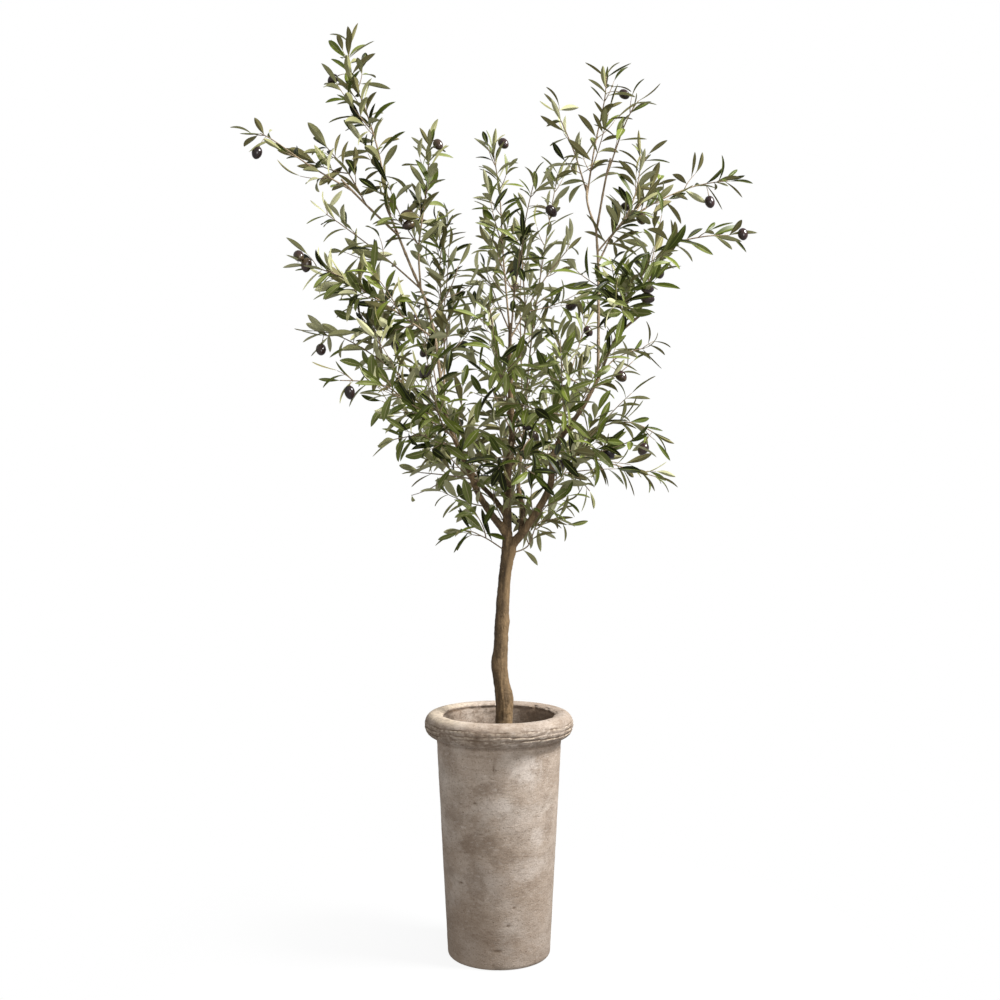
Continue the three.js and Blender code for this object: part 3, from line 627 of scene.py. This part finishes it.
def make_pot():
    profile = pot_profile()
    radius, height = (np.repeat(profile[:, i, None], POT_SIDES, 1) for i in (0, 1))
    angle = circle(POT_SIDES)
    turn = np.broadcast_to(angle, radius.shape)
    flat = about_axis(radius, turn, height).reshape(-1, 3)
    slow, rough, fine = (noise_at(flat, *kind).reshape(radius.shape)
                         for kind in ((5.0, 2, 0.0), (38.0, 3, 4.0), ((150, 150, 190), 3, 9.0)))
    body = smoothstep(0.004, 0.03, height) * (radius > POT_BASE_RADIUS - 0.004)
    push = body * (0.0007 * slow + 0.0004 * rough + 0.00018 * fine)
    # How dark each point is painted, for dirt and for painted shade, and how pale, for wear to the pale clay
    # and for painted highlight. The most of what is gathered here holds.
    dirt_and_shade, wear_and_highlight = [], []
    # Grooves run round the roll's face, wander, and fade in and out, with a crumbly ridge under each. The
    # grooves are painted dark as painted shade, and each ridge paler in patches as worn clay and painted
    # highlight.
    on_face = smoothstep(ROLL_RADIUS - 0.013, ROLL_RADIUS - 0.003, radius)
    for k, (level, depth, width, wander) in enumerate(ROLL_GROOVES):
        course = np.stack([np.cos(angle), np.sin(angle), np.full(POT_SIDES, 0.7 * k)], -1)
        path = level + wander * noise_at(course, 3.4, 5, 11.0 + k) + 0.001 * fine
        strength = np.clip(0.8 + 1.1 * noise_at(course, 3.6, 4, 31.0 + k), 0.0, 1.3)
        cut = strength * bell(height, path, width) * on_face
        ridge = strength * bell(height - path, -2.0 * width, width) * on_face
        push = push - depth * cut + 0.35 * depth * ridge
        # painted shade in the groove
        dirt_and_shade.append(np.clip(1.1 * cut, 0, 0.95))
        # the ridge painted paler in patches: worn clay and painted highlight
        wear_and_highlight.append(ridge * np.clip(0.15 + 0.9 * fine + 0.5 * rough, 0, 0.6))
    worn = smoothstep(0.543, 0.533, height) * smoothstep(ROLL_RADIUS - 0.02, ROLL_RADIUS - 0.008, radius)
    push = push + worn * (0.0006 * rough + 0.0005 * fine)
    dirt_and_shade.append(worn * np.clip(0.36 - 0.6 * fine - 0.5 * rough, 0, 0.65))
    rolled = (radius > POT_NECK_RADIUS + 0.004) & (height > COVE_BOTTOM)
    dirt_and_shade.append(rolled * smoothstep(0.503, 0.514, height) * np.clip(0.24 + 0.3 * rough, 0, 0.5))
    # The wash is fresh on the left of the roll's top and thin on its right.
    top = smoothstep(0.538, 0.547, height) * (radius > MOUTH_RADIUS)
    wear_and_highlight.append(0.7 * top * smoothstep(0.1, 0.9, -np.cos(turn)) * np.clip(0.8 + fine, 0, 1))
    dirt_and_shade.append(top * (0.06 + 0.28 * smoothstep(-0.4, 0.5, np.cos(turn))))
    # The lip is ragged and the wall under it is coarse. The hollow under the lip is painted dark as painted
    # shade, and so is the wall inside the mouth, most on its right, where the roll shades it.
    inside = (height > POT_FLOOR + 0.2) & (np.arange(-len(profile), 0) >= -LIP_AND_WALL_RINGS)[:, None]
    undercut = inside * bell(height - LIP_HEIGHT + 0.005, 0.002 * rough, 0.0035)
    push = push + inside * (0.0013 * rough + 0.0009 * fine + 0.0004 * slow) + 0.0025 * undercut
    edge = inside * bell(height, LIP_HEIGHT, 0.004)
    push = push + edge * np.clip(0.004 * rough + 0.002 * fine, -0.001, 0.004)
    dirt_and_shade.append(0.55 * inside * smoothstep(0.0, -0.5, fine + rough))
    # painted shade in the hollow under the lip
    dirt_and_shade.append(undercut * np.clip(0.85 + 0.6 * rough, 0, 1))
    # painted shade on the wall inside the mouth, darkest on its right
    shade = 0.2 + 0.6 * smoothstep(-0.1, 0.7, np.cos(turn))
    dirt_and_shade.append(shade * inside * smoothstep(0.546, 0.538, height))
    # A faint shallow band round the neck under the roll, painted darker as a painted shadow line.
    band = bell(height - 0.475, 0.002 * slow, 0.004) * body * (radius < POT_NECK_RADIUS + 0.002)
    push = push - 0.0005 * band
    # painted shadow line under the roll
    dirt_and_shade.append(0.25 * band * np.clip(0.7 + rough, 0, 1))

    def away(facing, level, wide, tall):
        """How far each point lies from a mark, in its half widths and heights, squared."""
        aside = (turn - facing + math.pi) % (2 * math.pi) - math.pi
        return ((aside * radius) / wide) ** 2 + ((height - level) / tall) ** 2

    patches = {"pale_patch": [], "dull_patch": []}
    for *mark, amount in PATCHES:
        blot = smoothstep(1.9, 0.2, away(*mark) + 1.2 * rough + 0.7 * fine)
        patches["pale_patch" if amount > 0 else "dull_patch"].append(body * abs(amount) * blot)
    for mark in SCARS:
        scar = np.exp(-np.maximum(away(*mark) + 0.9 * fine, 0)) * (radius > POT_BASE_RADIUS - POT_ARRIS)
        push = push - 0.0012 * scar
        dirt_and_shade.append(0.9 * scar)
    batch = Batch()
    batch.add_rings(about_axis(radius + push, turn, height))
    pot = batch.build("clay_pot", [CLAY])
    for name, shares in {"dirt_and_painted_shade": dirt_and_shade, "wear_and_highlight": wear_and_highlight, **patches}.items():
        give_attribute(pot, name, np.maximum.reduce(shares))
    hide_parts("pot")
    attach(pot, "root")


FILL_RADIUS = 0.1185
CRUMBS = 420
CRUMB_SIZE = (0.0016, 0.0048)


def make_fill():
    """A crumbly surface with loose crumbs on it."""
    rings, sides = 46, 128
    radius = np.linspace(0.004, FILL_RADIUS, rings)[:, None]
    top = about_axis(radius, circle(sides), FILL_TOP).reshape(-1, 3)
    top[:, 2] += 0.0035 * noise_at(top, 32.0, 4, 5.0) + 0.0016 * noise_at(top, 130.0, 3, 8.0) - 0.001
    under = top[-sides:] * (0.98, 0.98, 1) - (0, 0, 0.03)
    batch = Batch()
    batch.add_rings(np.vstack([top, under]).reshape(rings + 1, sides, 3), order=-1)
    fill = batch.build("potting_fill", [FILL])
    crumbs = Batch()
    ball, ball_faces = round_shape(7, 6)
    for _ in range(CRUMBS):
        size = rng.uniform(*CRUMB_SIZE)
        r, a = (FILL_RADIUS - 0.0055) * math.sqrt(rng.uniform(0.05, 1)), rng.uniform(0, 2 * math.pi)
        lumps = 1 + 0.25 * rng.standard_normal(len(ball))[:, None]
        squash = rng.uniform(0.6, 1.1, 3)
        place = np.array([r * math.cos(a), r * math.sin(a), FILL_TOP + 0.25 * size])
        crumbs.add(place + ball * lumps * squash * size, ball_faces)
    loose = crumbs.build("fill_crumbs", [FILL])
    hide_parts("fill")
    for piece in (fill, loose):
        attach(piece, "root")


def round_shape(rings, sides):
    """A unit ball of triangles with small closing faces at its poles."""
    rise = np.linspace(-math.pi / 2 + 0.25, math.pi / 2 - 0.25, rings)[:, None]
    points = about_axis(np.cos(rise), circle(sides), np.sin(rise)).reshape(-1, 3)
    low, high, last = rings * sides, rings * sides + 1, (rings - 1) * sides
    s = np.arange(sides)
    ends = np.concatenate([np.stack([(s + 1) % sides, s, np.full(sides, low)], -1),
                           np.stack([last + s, last + (s + 1) % sides, np.full(sides, high)], -1)])
    quads = ring_faces(rings, sides)
    return (np.vstack([points, (0, 0, -1), (0, 0, 1)]),
            np.concatenate([quads[:, [0, 1, 2]], quads[:, [0, 2, 3]], ends]))


# ---------- trunk and limbs ----------

ACROSS = np.array([1.0, 0.0, 0.0])
LIMB_STEP = 0.006  # between rings
TRUNK_SIDES = 36
LIMB_SIDES = 24
BARK_GRID = 0.0017  # of the remesh that fuses the limbs
STEM_JOINT_GAP = 0.055  # between the joints on a bare stem
# Stubs of cut shoots on the limbs: limb, share of its length, angle round it, length, radius.
STUBS = [("limb_back", 0.12, 0.6, 0.017, 0.005), ("limb_left_lower", 0.42, 3.4, 0.014, 0.006),
         ("limb_right", 0.3, 5.2, 0.013, 0.0045), ("limb_right", 0.52, 2.0, 0.014, 0.0045),
         ("limb_leader", 0.38, 4.2, 0.014, 0.005), ("limb_leader", 0.6, 1.0, 0.013, 0.0045)]


def trunk_radius(share, angle):
    rise = share * (TRUNK_AXIS[-1][2] - TRUNK_AXIS[0][2]) / PER_METRE
    radius = TRUNK_FOOT_RADIUS + (TRUNK_FORK_RADIUS - TRUNK_FOOT_RADIUS) * share
    radius = radius + TRUNK_FLARE * math.exp(-rise / TRUNK_FLARE_HEIGHT)
    for height, facing, size, reach in TRUNK_KNOTS:
        swelling = size * math.exp(-(((rise - height) / reach) ** 2))
        radius = radius + swelling * (0.5 + 0.5 * np.cos(angle - facing))
    return radius


def add_limb(batch, route, radius_at, sides):
    """A limb whose radius may differ round it. The angle is 0 towards +X and grows towards +Y."""
    turn = circle(sides)[:, None]
    rings = []
    for share in np.linspace(0, 1, max(8, int(route.length / LIMB_STEP))):
        place, heading = route.pose(share)
        side = unit(ACROSS - heading * heading[0])
        rings.append(ring(place, heading, side, radius_at(share, turn), turn))
    batch.add_rings(np.array(rings))


def read_vectors(mesh, name):
    values = np.empty(len(mesh.vertices) * 3, np.float32)
    mesh.vertices.foreach_get(name, values)
    return values.reshape(-1, 3).astype(float)


def make_bark():
    """The trunk, limbs and stubs, fused by a remesh, with the bark's relief."""
    batch = Batch()
    add_limb(batch, routes["trunk"], trunk_radius, TRUNK_SIDES)
    for name, (_, _, (foot, tip), *_) in LIMBS.items():
        def taper(share, angle, foot=foot, tip=tip):
            return foot + (tip - foot) * share + 0.3 * foot * math.exp(-share * 24)
        add_limb(batch, routes[name], taper, LIMB_SIDES)
    for name, share, angle, length, radius in STUBS:
        foot, heading = routes[name].pose(share)
        out = unit(around(heading, angle) + 0.5 * heading)
        steps = np.linspace(0, 1, 7)
        add_tube(batch, foot + np.outer(steps * length, out), radius * (1.15 - 0.35 * steps ** 2), 12)
    bark = batch.build("bark", [BARK])
    remesh = bark.modifiers.new("join", "REMESH")
    remesh.mode = "VOXEL"
    remesh.voxel_size = BARK_GRID
    smooth = bark.modifiers.new("soften", "SMOOTH")
    smooth.iterations = 6
    smooth.factor = 0.5
    apply_modifiers(bark)
    mesh = bark.data
    points, normals = read_vectors(mesh, "co"), read_vectors(mesh, "normal")
    girth = 0.45 + 0.55 * smoothstep(1.1, 0.9, points[:, 2])
    lumps = noise_at(points, 55.0, 3, 2.0)
    ridges = 1 - 2 * np.abs(noise_at(points, (170, 170, 26), 3, 6.0))
    pits = noise_at(points, (330, 330, 120), 2, 3.0)
    points += normals * (girth * (0.001 * lumps + 0.0007 * ridges + 0.0004 * pits))[:, None]
    mesh.vertices.foreach_set("co", points.astype(np.float32).ravel())
    mesh.shade_smooth()
    mesh.update()
    # Painted light and shade: the trunk is painted paler on the side that faces the key lamp, most towards its
    # top, and darker on the side away from it.
    facing_key_lamp = normals @ (0.94, -0.34, 0.0)
    on_trunk = smoothstep(0.96, 0.9, points[:, 2])
    rise = 0.4 + 0.6 * smoothstep(0.55, 0.9, points[:, 2])
    painted_lit_side = 0.5 * rise + 0.42 * smoothstep(0.78, 0.88, points[:, 2])
    give_attribute(bark, "painted_lit_side", painted_lit_side * on_trunk * smoothstep(0.2, 0.9, facing_key_lamp))
    give_attribute(bark, "painted_shaded_side", 0.5 * on_trunk * smoothstep(0.0, -0.8, facing_key_lamp))
    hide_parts("trunk", *LIMBS)
    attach(bark, "root")


def give_attribute(piece, name, values):
    attribute = piece.data.attributes.new(name, "FLOAT", "POINT")
    attribute.data.foreach_set("value", values.astype(np.float32).ravel())


def apply_modifiers(piece):
    """Puts the modified mesh in place of the plain one."""
    evaluated = piece.evaluated_get(bpy.context.evaluated_depsgraph_get())
    plain, made = piece.data, bpy.data.meshes.new_from_object(evaluated)
    piece.modifiers.clear()
    piece.data = made
    made.name = piece.name
    if not made.materials:
        made.materials.append(plain.materials[0])


# ---------- leaves ----------

LEAF_ROWS = np.array([0, 0.06, 0.15, 0.28, 0.42, 0.56, 0.7, 0.83, 0.93, 1.0])
MIDRIB = 0.09  # half width of the midrib over that of the leaf
LEAF_COLUMNS = np.array([-1, -MIDRIB, MIDRIB, 1])


def leaf_outline(u):
    """Half width, 0 to 1, along the leaf: a thin stalk, widest past the middle, bluntly pointed."""
    blade = np.clip((u - 0.06) / 0.94, 0, 1)
    return np.maximum(np.sin(math.pi * blade ** 1.15) ** 0.75, np.where(u < 0.9, 0.07, 0.015))


def leaf_template():
    """Rows and columns of one leaf's upper and lower skins, which share its edge, and the faces of both."""
    rows, columns = len(LEAF_ROWS), len(LEAF_COLUMNS)
    u, v = np.meshgrid(LEAF_ROWS, LEAF_COLUMNS, indexing="ij")
    upper = np.arange(rows * columns).reshape(rows, columns)
    lower = upper.copy()
    inner = (rows - 2) * (columns - 2)
    lower[1:-1, 1:-1] = rows * columns + np.arange(inner).reshape(rows - 2, columns - 2)
    u, v = (np.concatenate([w.ravel(), w[1:-1, 1:-1].ravel()]) for w in (u, v))
    skin = np.concatenate([np.zeros(rows * columns), np.ones(inner)])

    def quads(grid):
        return np.stack([grid[:-1, :-1], grid[1:, :-1], grid[1:, 1:], grid[:-1, 1:]], -1).reshape(-1, 4)

    faces = np.concatenate([quads(upper)[:, ::-1], quads(lower)])
    number = np.arange(len(faces))
    return u, v, skin, faces, number >= len(faces) // 2, number % (columns - 1) == 1


LEAF_U, LEAF_V, LEAF_SKIN, LEAF_FACES, LEAF_IS_LOWER, LEAF_IS_MIDRIB = leaf_template()
# The paler tint of the midrib, for each tint of the leaf.
MIDRIB_TINTS = np.array([2, 2, 5, 5, 5, 6, 6])


class Leaves:
    """Leaves to be made, each with its place, pose, size and tints."""

    def __init__(self):
        self.rows = []

    def add(self, place, heading, upward, length, width, curl, twist, tints):
        self.rows.append((*place, *heading, *upward, length, width, curl, twist, *tints))

    def shape(self):
        """The points of each leaf."""
        rows = np.array(self.rows)
        place, ahead, up = rows[:, None, 0:3], unit(rows[:, 3:6])[:, None], rows[:, 6:9]
        up = unit(up - ahead[:, 0] * np.sum(up * ahead[:, 0], -1, keepdims=True))[:, None]
        side = np.cross(up, ahead)
        length, width, curl, twist = (rows[:, i, None] for i in range(9, 13))
        bend = curl * LEAF_U
        safe = np.where(np.abs(curl) < 1e-3, 1e-3, curl)
        along = np.sin(safe * LEAF_U) / safe * length
        rise = -(1 - np.cos(safe * LEAF_U)) / safe * length
        across = LEAF_V * leaf_outline(LEAF_U) * width / 2
        lift = LEAF_FOLD * np.abs(across) - LEAF_SKIN * LEAF_THICKNESS
        roll = twist * LEAF_U
        x = along + lift * np.sin(bend)
        y = across * np.cos(roll) - lift * np.sin(roll)
        z = rise + lift * np.cos(bend) * np.cos(roll) + across * np.sin(roll)
        return place + x[..., None] * ahead + y[..., None] * side + z[..., None] * up

    def build(self, name):
        points = self.shape()
        count, per_leaf = points.shape[:2]
        faces = LEAF_FACES[None] + (np.arange(count) * per_leaf)[:, None, None]
        top, under = np.array(self.rows)[:, 13:15].T
        tints = np.where(LEAF_IS_LOWER, under[:, None], top[:, None]).astype(int)
        tints = np.where(LEAF_IS_MIDRIB, MIDRIB_TINTS[tints], tints)
        batch = Batch()
        batch.add(points.reshape(-1, 3), faces.reshape(-1, 4), tints.ravel())
        piece = batch.build(name, LEAF_MATERIALS)
        piece.data.set_sharp_from_angle(angle=LEAF_EDGE_ANGLE)
        return piece


UP = np.array([0.0, 0.0, 1.0])
# Mean and spread, in radians, of how much further than asked a leaf leans out, how far it bends down over its
# length, and how far it is rolled and twisted.
LEAF_LEAN = (0.06, 0.2)
LEAF_CURL = (0.42, 0.28)
LEAF_ROLL = (0, 0.45)
LEAF_TWIST = (0, 0.35)
LEAF_SCATTER = 0.12  # how unevenly the leaves point
LEAF_DROOP = 0.06


def paler(shares, amount):
    """Shares of tints, dark to pale, moved towards the pale ones, or towards the dark ones below zero."""
    moved = np.array(shares) * np.exp(amount * np.linspace(-1, 1, len(shares)))
    return moved / moved.sum()


class Growth:
    """What the stems and leaves of one spray are added to, and what its leaves are like."""

    def __init__(self, leaves, twigs, side, leafiness, tint_and_painted_light):
        self.leaves, self.twigs = leaves, twigs
        tops, unders, self.size, self.slimness = HABITS[side]
        # tints moved paler or darker: partly the leaves' own tone, partly painted light and shade
        self.tops, self.unders = paler(tops, tint_and_painted_light), paler(unders, tint_and_painted_light)
        self.crowding = max(1.0, leafiness)
        self.kept = min(1.0, leafiness)


def add_leaf(growth, place, heading, facing, spread, size, slimmer=1.0):
    """One leaf on a stem: it leans out by spread from the stem's heading towards facing."""
    spread = spread + rng.normal(*LEAF_LEAN)
    ahead = heading * math.cos(spread) + facing * math.sin(spread)
    ahead = unit(ahead + LEAF_SCATTER * rng.standard_normal(3) - LEAF_DROOP * UP)
    upward = heading * math.sin(spread) - facing * math.cos(spread)
    upward = unit(upward + rng.uniform(0.3, 1.4) * UP)
    roll = rng.normal(*LEAF_ROLL)
    upward = upward * math.cos(roll) + np.cross(ahead, upward) * math.sin(roll)
    length = rng.uniform(*LEAF_LENGTH) * size * growth.size
    width = length * rng.uniform(*growth.slimness) * slimmer
    curl = rng.normal(*LEAF_CURL)
    twist = rng.normal(*LEAF_TWIST)
    top = rng.choice(4, p=growth.tops)
    under = 4 + rng.choice(3, p=growth.unders)
    growth.leaves.add(place, ahead, upward, length, width, curl, twist, (top, under))


# ---------- sprays ----------

# The leaves of each side: shares of deep, olive, mid and fresh upper faces, shares of dull, sage and grey
# undersides, size, and width over length. The centre and front have more of the pale undersides than the left
# and right, as painted light where their leaves lie in the crown's shade.
HABITS = {
    "left": ((0.38, 0.34, 0.22, 0.06), (0.4, 0.4, 0.2), 1.0, (0.2, 0.32)),
    "centre": ((0.34, 0.22, 0.3, 0.14), (0.2, 0.36, 0.44), 0.95, (0.17, 0.28)),
    "right": ((0.36, 0.34, 0.22, 0.08), (0.36, 0.38, 0.26), 0.98, (0.16, 0.27)),
    "front": ((0.42, 0.26, 0.22, 0.1), (0.25, 0.4, 0.35), 0.98, (0.18, 0.29)),
    "back": ((0.36, 0.3, 0.26, 0.08), (0.25, 0.35, 0.4), 0.98, (0.17, 0.27)),
}
STEM_STEP = 0.006
BRANCHLET_LENGTH = (0.1, 0.165)
TWIGLET_LENGTH = (0.035, 0.055)
TWIGLETS_FROM = 0.12  # length of the shortest twig with twiglets
# Radii at the foot of each kind of twig.
BRANCHLET_RADIUS, SHOOT_RADIUS, SIDE_TWIG_RADIUS, TWIGLET_RADIUS = 0.0016, 0.0017, 0.0013, 0.001
TIP_LEAF_REACH = 0.062  # the last leaves start this far before the end of a spray's route
LEAF_KEPT = 0.94  # of the leaf pairs on a full stem
TWIG_LEAF_KEPT = 0.92


def grow_twig(growth, foot, heading, facing, length, radius, size):
    """A side twig that curves back towards its stem's heading, with pairs of leaves, and a leaf at its tip.

    Every third pair of a long twig has a twiglet in place of one leaf.
    """
    steps = np.linspace(0, 1, max(4, int(length / STEM_STEP)))[:, None]
    spread = rng.uniform(0.6, 0.95)
    out = heading * math.cos(spread) + facing * math.sin(spread)
    sag = rng.uniform(-0.12, 0.12)
    points = foot + length * (steps * out + 0.5 * steps ** 2 * (0.5 * heading - 0.25 * facing + sag * UP))
    add_tube(growth.twigs, points, radius * (1 - 0.5 * steps[:, 0]), 5)
    route = Route(np.vstack([points[:-1:max(1, len(points) // 5)], points[-1]]))
    turn = rng.uniform(0, math.pi)
    pairs = max(1, round(length / TWIG_NODE_GAP))
    for k in range(pairs):
        share = (k + 0.75) / (pairs + 0.4)
        place, ahead = route.pose(share)
        turn += math.pi / 2 + rng.normal(0, 0.35)
        twiglet = rng.integers(2) if length > TWIGLETS_FROM and k % 3 == 1 else -1
        for side in (0, 1):
            beside = around(ahead, turn + side * math.pi)
            if side == twiglet:
                grow_twig(growth, place, ahead, beside, rng.uniform(*TWIGLET_LENGTH), TWIGLET_RADIUS, size)
            elif rng.random() < TWIG_LEAF_KEPT * growth.kept:
                add_leaf(growth, place, ahead, beside, 0.9 - 0.25 * share, size * (0.98 - 0.12 * share))
    tip, ahead = route.pose(1.0)
    add_leaf(growth, tip, ahead, around(ahead, turn), 0.12, size * 0.85)


def grow_spray(growth, route, half_width, branchlets, bare):
    """A leafy stem along a route: leaf pairs all the way, some with a side twig in place of a leaf."""
    shares = np.linspace(0, 1 - min(0.06 / route.length, 0.3), max(8, int(route.length / STEM_STEP)))
    foot = min(SPRAY_FOOT_RADIUS, SPRAY_TIP_RADIUS + 0.004 * route.length)
    add_tube(growth.twigs, route.at(shares), foot + (SPRAY_TIP_RADIUS - foot) * shares, 6)
    turn = rng.uniform(0, 2 * math.pi)
    for k in range(branchlets):
        share = bare + (0.52 - bare) * (k + rng.uniform(0.2, 0.8)) / branchlets
        place, heading = route.pose(share)
        facing = around(heading, turn + GOLDEN_TURN * k)
        reach = min(rng.uniform(*BRANCHLET_LENGTH), 0.03 + 0.6 * (1 - share) * route.length)
        grow_twig(growth, place, heading, facing, reach, BRANCHLET_RADIUS, 1.0)
    leafy = route.length * (1 - bare) - 0.05
    nodes = int(leafy / NODE_GAP * growth.crowding)
    for k in range(nodes):
        share = bare + (k + 0.5 + rng.uniform(-0.2, 0.2)) / nodes * leafy / route.length
        place, heading = route.pose(share)
        turn += math.pi / 2 + rng.normal(0, 0.3)
        size = 1.0 - 0.2 * share ** 2
        kept = LEAF_KEPT * growth.kept * (1 - 0.25 * smoothstep(0.6, 1.0, share))
        twig_side = rng.integers(2) if k % 3 == 1 and share < 0.86 else -1
        for side in (0, 1):
            facing = around(heading, turn + side * math.pi)
            if side == twig_side:
                reach = half_width * rng.uniform(0.9, 1.6) * (1.1 - 0.5 * share)
                reach = min(reach, 0.4 * (1 - share) * route.length)
                grow_twig(growth, place, heading, facing, reach, SIDE_TWIG_RADIUS, size)
            elif rng.random() < kept:
                add_leaf(growth, place, heading, facing, 1.0 - 0.35 * share, size, 1 - 0.25 * share ** 2)
    # The last leaf points on from the stem and ends at the route's end, with a pair a little behind it.
    back = min(TIP_LEAF_REACH / route.length, 0.3)
    heading = route.heading(1.0)
    turn += math.pi / 2
    for side in (0, math.pi):
        add_leaf(growth, route.at(1 - 1.45 * back), heading, around(heading, turn + side), 0.55, 0.82, 0.8)
    add_leaf(growth, route.at(1 - back), heading, around(heading, turn + 1), 0.06, 0.79, 0.8)


def grow_shoots(growth, limb, start, end, gap, size):
    """Leafy shoots in turn round a limb."""
    route = routes[limb]
    turn = rng.uniform(0, 2 * math.pi)
    count = int(route.length * (end - start) / gap)
    for k in range(count):
        share = start + (end - start) * (k + 0.5) / count
        place, heading = route.pose(share)
        facing = around(heading, turn + GOLDEN_TURN * k + rng.normal(0, 0.3))
        reach = rng.uniform(*BRANCHLET_LENGTH) * size
        grow_twig(growth, place, heading, facing, reach, SHOOT_RADIUS, 1.0)


# ---------- olives ----------


def add_olive(olives, stalks, stem_place, target):
    """An olive with a little tip, hanging from a short arched stalk."""
    drop = unit(target - stem_place + np.array([0, 0, -0.02]))
    reach = target - drop * OLIVE_LENGTH * 0.48
    middle = (stem_place + reach) / 2 + np.array([0, 0, 0.006])
    steps = np.linspace(0, 1, 9)[:, None]
    points = (1 - steps) ** 2 * stem_place + 2 * steps * (1 - steps) * middle + steps ** 2 * reach
    add_tube(stalks, points, 0.0008 + 0.0005 * steps[:, 0] ** 6, 5)
    ball, faces = round_shape(15, 20)
    axis = unit(drop + 0.25 * rng.standard_normal(3))
    side = around(axis, rng.uniform(0, 6))
    other = np.cross(axis, side)
    egg = 1 - 0.07 * ball[:, 2]
    tip = 0.05 * bell(1 - ball[:, 2], 0, 0.03)
    size = rng.uniform(0.88, 1.05)
    long = OLIVE_LENGTH / 2 * size * (ball[:, 2] + tip)
    wide = OLIVE_WIDTH / 2 * size * egg
    points = (target + long[:, None] * axis + (wide * ball[:, 0])[:, None] * side
              + (wide * ball[:, 1])[:, None] * other)
    olives.add(points, faces)


# ---------- tree ----------


def make_stems():
    """The long bare stems, with small joints."""
    stems = Batch()
    for name, (_, _, (foot, tip), *_) in STEMS.items():
        route = routes[name]
        shares = np.linspace(0, 1, int(route.length / 0.004))
        joints = 1 + 0.22 * bell(shares * route.length / STEM_JOINT_GAP % 1, 0.5, 0.09)
        add_tube(stems, route.at(shares), (foot + (tip - foot) * shares) * joints, 10)
    piece = stems.build("long_stems", [STEM])
    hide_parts(*STEMS)
    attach(piece, "root")


def hang_olives(olives, stalks, name):
    route = routes[name]
    for across, up in np.array(OLIVES.get(name, [])).reshape(-1, 2) / PER_METRE:
        place = route.nearest(across, up)
        target = np.array([across, place[1] - 0.012, up])
        far = np.linalg.norm(target - place)
        add_olive(olives, stalks, place, place + (target - place) * min(1, 0.055 / far))


def grow_crown():
    twigs, olives, stalks = Batch(), Batch(), Batch()
    for side, group in SPRAYS.items():
        leaves = Leaves()
        for name, (carrier, _, (half_width, seed, branchlets, leafiness, tint_and_painted_light), *_) in group.items():
            reseed(list(routes).index(name), seed)
            bare = BARE_FOOT.get(name, BARE_ON_STEM if carrier.startswith("stem") else BARE_ON_LIMB)
            growth = Growth(leaves, twigs, side, leafiness, tint_and_painted_light)
            grow_spray(growth, routes[name], half_width, branchlets, bare)
            hang_olives(olives, stalks, name)
        if side == "centre":
            for number, (*run, seed, tint_and_painted_light) in enumerate(SHOOTS):
                reseed(number, seed)
                grow_shoots(Growth(leaves, twigs, side, 1.0, tint_and_painted_light), *run)
        piece = leaves.build("leaves_" + side)
        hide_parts(*group)
        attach(piece, "root")
    for name, (batch, material) in {"twigs": (twigs, STEM), "olive_stalks": (stalks, STEM),
                                    "olives": (olives, OLIVE)}.items():
        piece = batch.build(name, [material])
        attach(piece, "root")


# ---------- stage, light and camera ----------

EYE_HEIGHT = 1.1
EYE_DISTANCE = 3.06
LENS = 48.28
FRAME_SHIFT = (0.001, -0.0294)
SURROUND = 0.44  # brightness of the white surround as a light
AIM = (0, 0, 1.15)  # the place that the lamps face
FLOOR_RADIUS = 9
FLOOR_BLEND = (0.1, 0.9)  # distances over which the floor melts into the surround
FLOOR_GLOW = 0.9  # share of the surround's white in the floor under the pot
WHITE = (1, 1, 1, 1)


def make_stage():
    """A pale floor that melts into a white surround."""
    floor = Batch()
    floor.add_rings(about_axis(np.linspace(0.01, 1, 24)[:, None] ** 2 * FLOOR_RADIUS, circle(64), 0), ends=1)
    n = Surface("pale_floor", 0.9, Base_Color=(0.8, 0.8, 0.8, 1))
    seen = n.add("LightPath", {}).outputs["Is Camera Ray"]
    glow = n.add("Emission", {"Strength": n.range(seen, 0, 1, 1.0, SURROUND)})
    length = n.add("VectorMath", {0: n.place((1, 1, 0))}, operation="LENGTH").outputs["Value"]
    share = n.range(length, *FLOOR_BLEND, 1.0, FLOOR_GLOW)
    blend = n.add("MixShader", {0: share, 1: n.shader.outputs[0], 2: glow.outputs[0]})
    n.feed(n.tree.nodes["Material Output"].inputs[0], blend.outputs[0])
    floor.build("floor", [n.material])

    world = bpy.data.worlds.new("surround")
    bpy.context.scene.world = world
    n = Nodes(world)
    sky = n.tree.nodes["Background"]
    n.feed_all(sky, {"Strength": SURROUND, "Color": WHITE})
    seen = n.add("Background", {"Color": WHITE})
    path = n.add("LightPath", {}).outputs["Is Camera Ray"]
    blend = n.add("MixShader", {0: path, 1: sky.outputs[0], 2: seen.outputs[0]})
    n.feed(n.tree.nodes["World Output"].inputs[0], blend.outputs[0])


def add_lamp(name, place, size, power):
    light = bpy.data.lights.new(name, "AREA")
    light.size = size
    light.energy = power
    lamp = put(name, light)
    lamp.location = place
    lamp.rotation_euler = (Vector(AIM) - Vector(place)).to_track_quat("-Z", "Y").to_euler()


def make_camera():
    lens = bpy.data.cameras.new("camera")
    lens.sensor_width = 36
    lens.lens = LENS
    lens.shift_x, lens.shift_y = FRAME_SHIFT
    camera = put("camera", lens)
    camera.location = (0, -EYE_DISTANCE, EYE_HEIGHT)
    camera.rotation_euler = (math.pi / 2, 0, 0)
    bpy.context.scene.camera = camera


make_camera()
make_stage()
add_lamp("key", (2.55, -0.8, 3.96), 1.1, 320)
add_lamp("front", (0.9, -3.4, 2.4), 1.6, 38)
bpy.context.scene.view_settings.view_transform = "Standard"

make_pot()
make_fill()
make_bark()
make_stems()
grow_crown()
